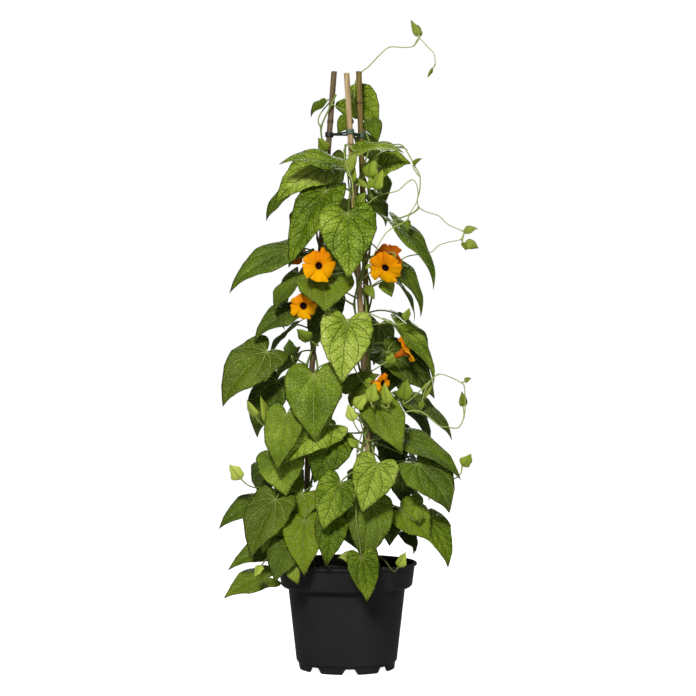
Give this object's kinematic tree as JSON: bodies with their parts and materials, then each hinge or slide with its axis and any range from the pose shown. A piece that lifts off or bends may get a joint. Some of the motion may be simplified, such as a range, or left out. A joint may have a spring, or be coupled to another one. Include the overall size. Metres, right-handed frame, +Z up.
{
  "type": "potted climbing plant",
  "caption": "Flowering twining vine with heart-shaped leaves and five-petalled orange blooms, trained up a clipped tripod of canes in a round nursery pot.",
  "frame": {"origin": "on the ground under the middle of the plant's overall box, which is the pot's axis to within 2 mm", "axes": "+Z up along the pot's axis, -Y towards the viewer in the picture, +X to the viewer's right"},
  "size_m": [0.322, 0.2155, 0.809],
  "materials": {
    "pot_black": "satin moulded plastic",
    "soil_brown": "moist peat and bark mix",
    "cane_left_wood": "bare bamboo, brown",
    "cane_front_wood": "bare bamboo, tan",
    "cane_back_wood": "bare bamboo, dark brown",
    "clip_green": "moulded plastic",
    "leaf_green": "soft leaf and stalk",
    "petal_orange": "soft petal",
    "throat_dark": "velvety"
  },
  "bodies": {
    "root": {"pot": "pot_black", "soil": "soil_brown", "cane_left": "cane_left_wood", "cane_front": "cane_front_wood", "cane_back": "cane_back_wood", "clip": "clip_green", "vine_0": "leaf_green", "vine_1": "leaf_green", "vine_2": "leaf_green", "vine_3": "leaf_green", "vine_4": "leaf_green", "vine_5": "leaf_green", "bloom_0": "petal_orange", "bloom_1": "petal_orange", "bloom_2": "petal_orange", "bloom_3": "petal_orange", "bloom_4": "petal_orange", "bloom_5": "petal_orange", "bloom_6": "petal_orange", "bloom_7": "petal_orange", "bloom_8": "petal_orange", "bloom_9": "petal_orange", "throat_0": "throat_dark", "throat_1": "throat_dark", "throat_2": "throat_dark", "throat_3": "throat_dark", "throat_4": "throat_dark", "throat_5": "throat_dark", "throat_6": "throat_dark", "throat_7": "throat_dark", "throat_8": "throat_dark", "throat_9": "throat_dark"}
  },
  "joints": []
}
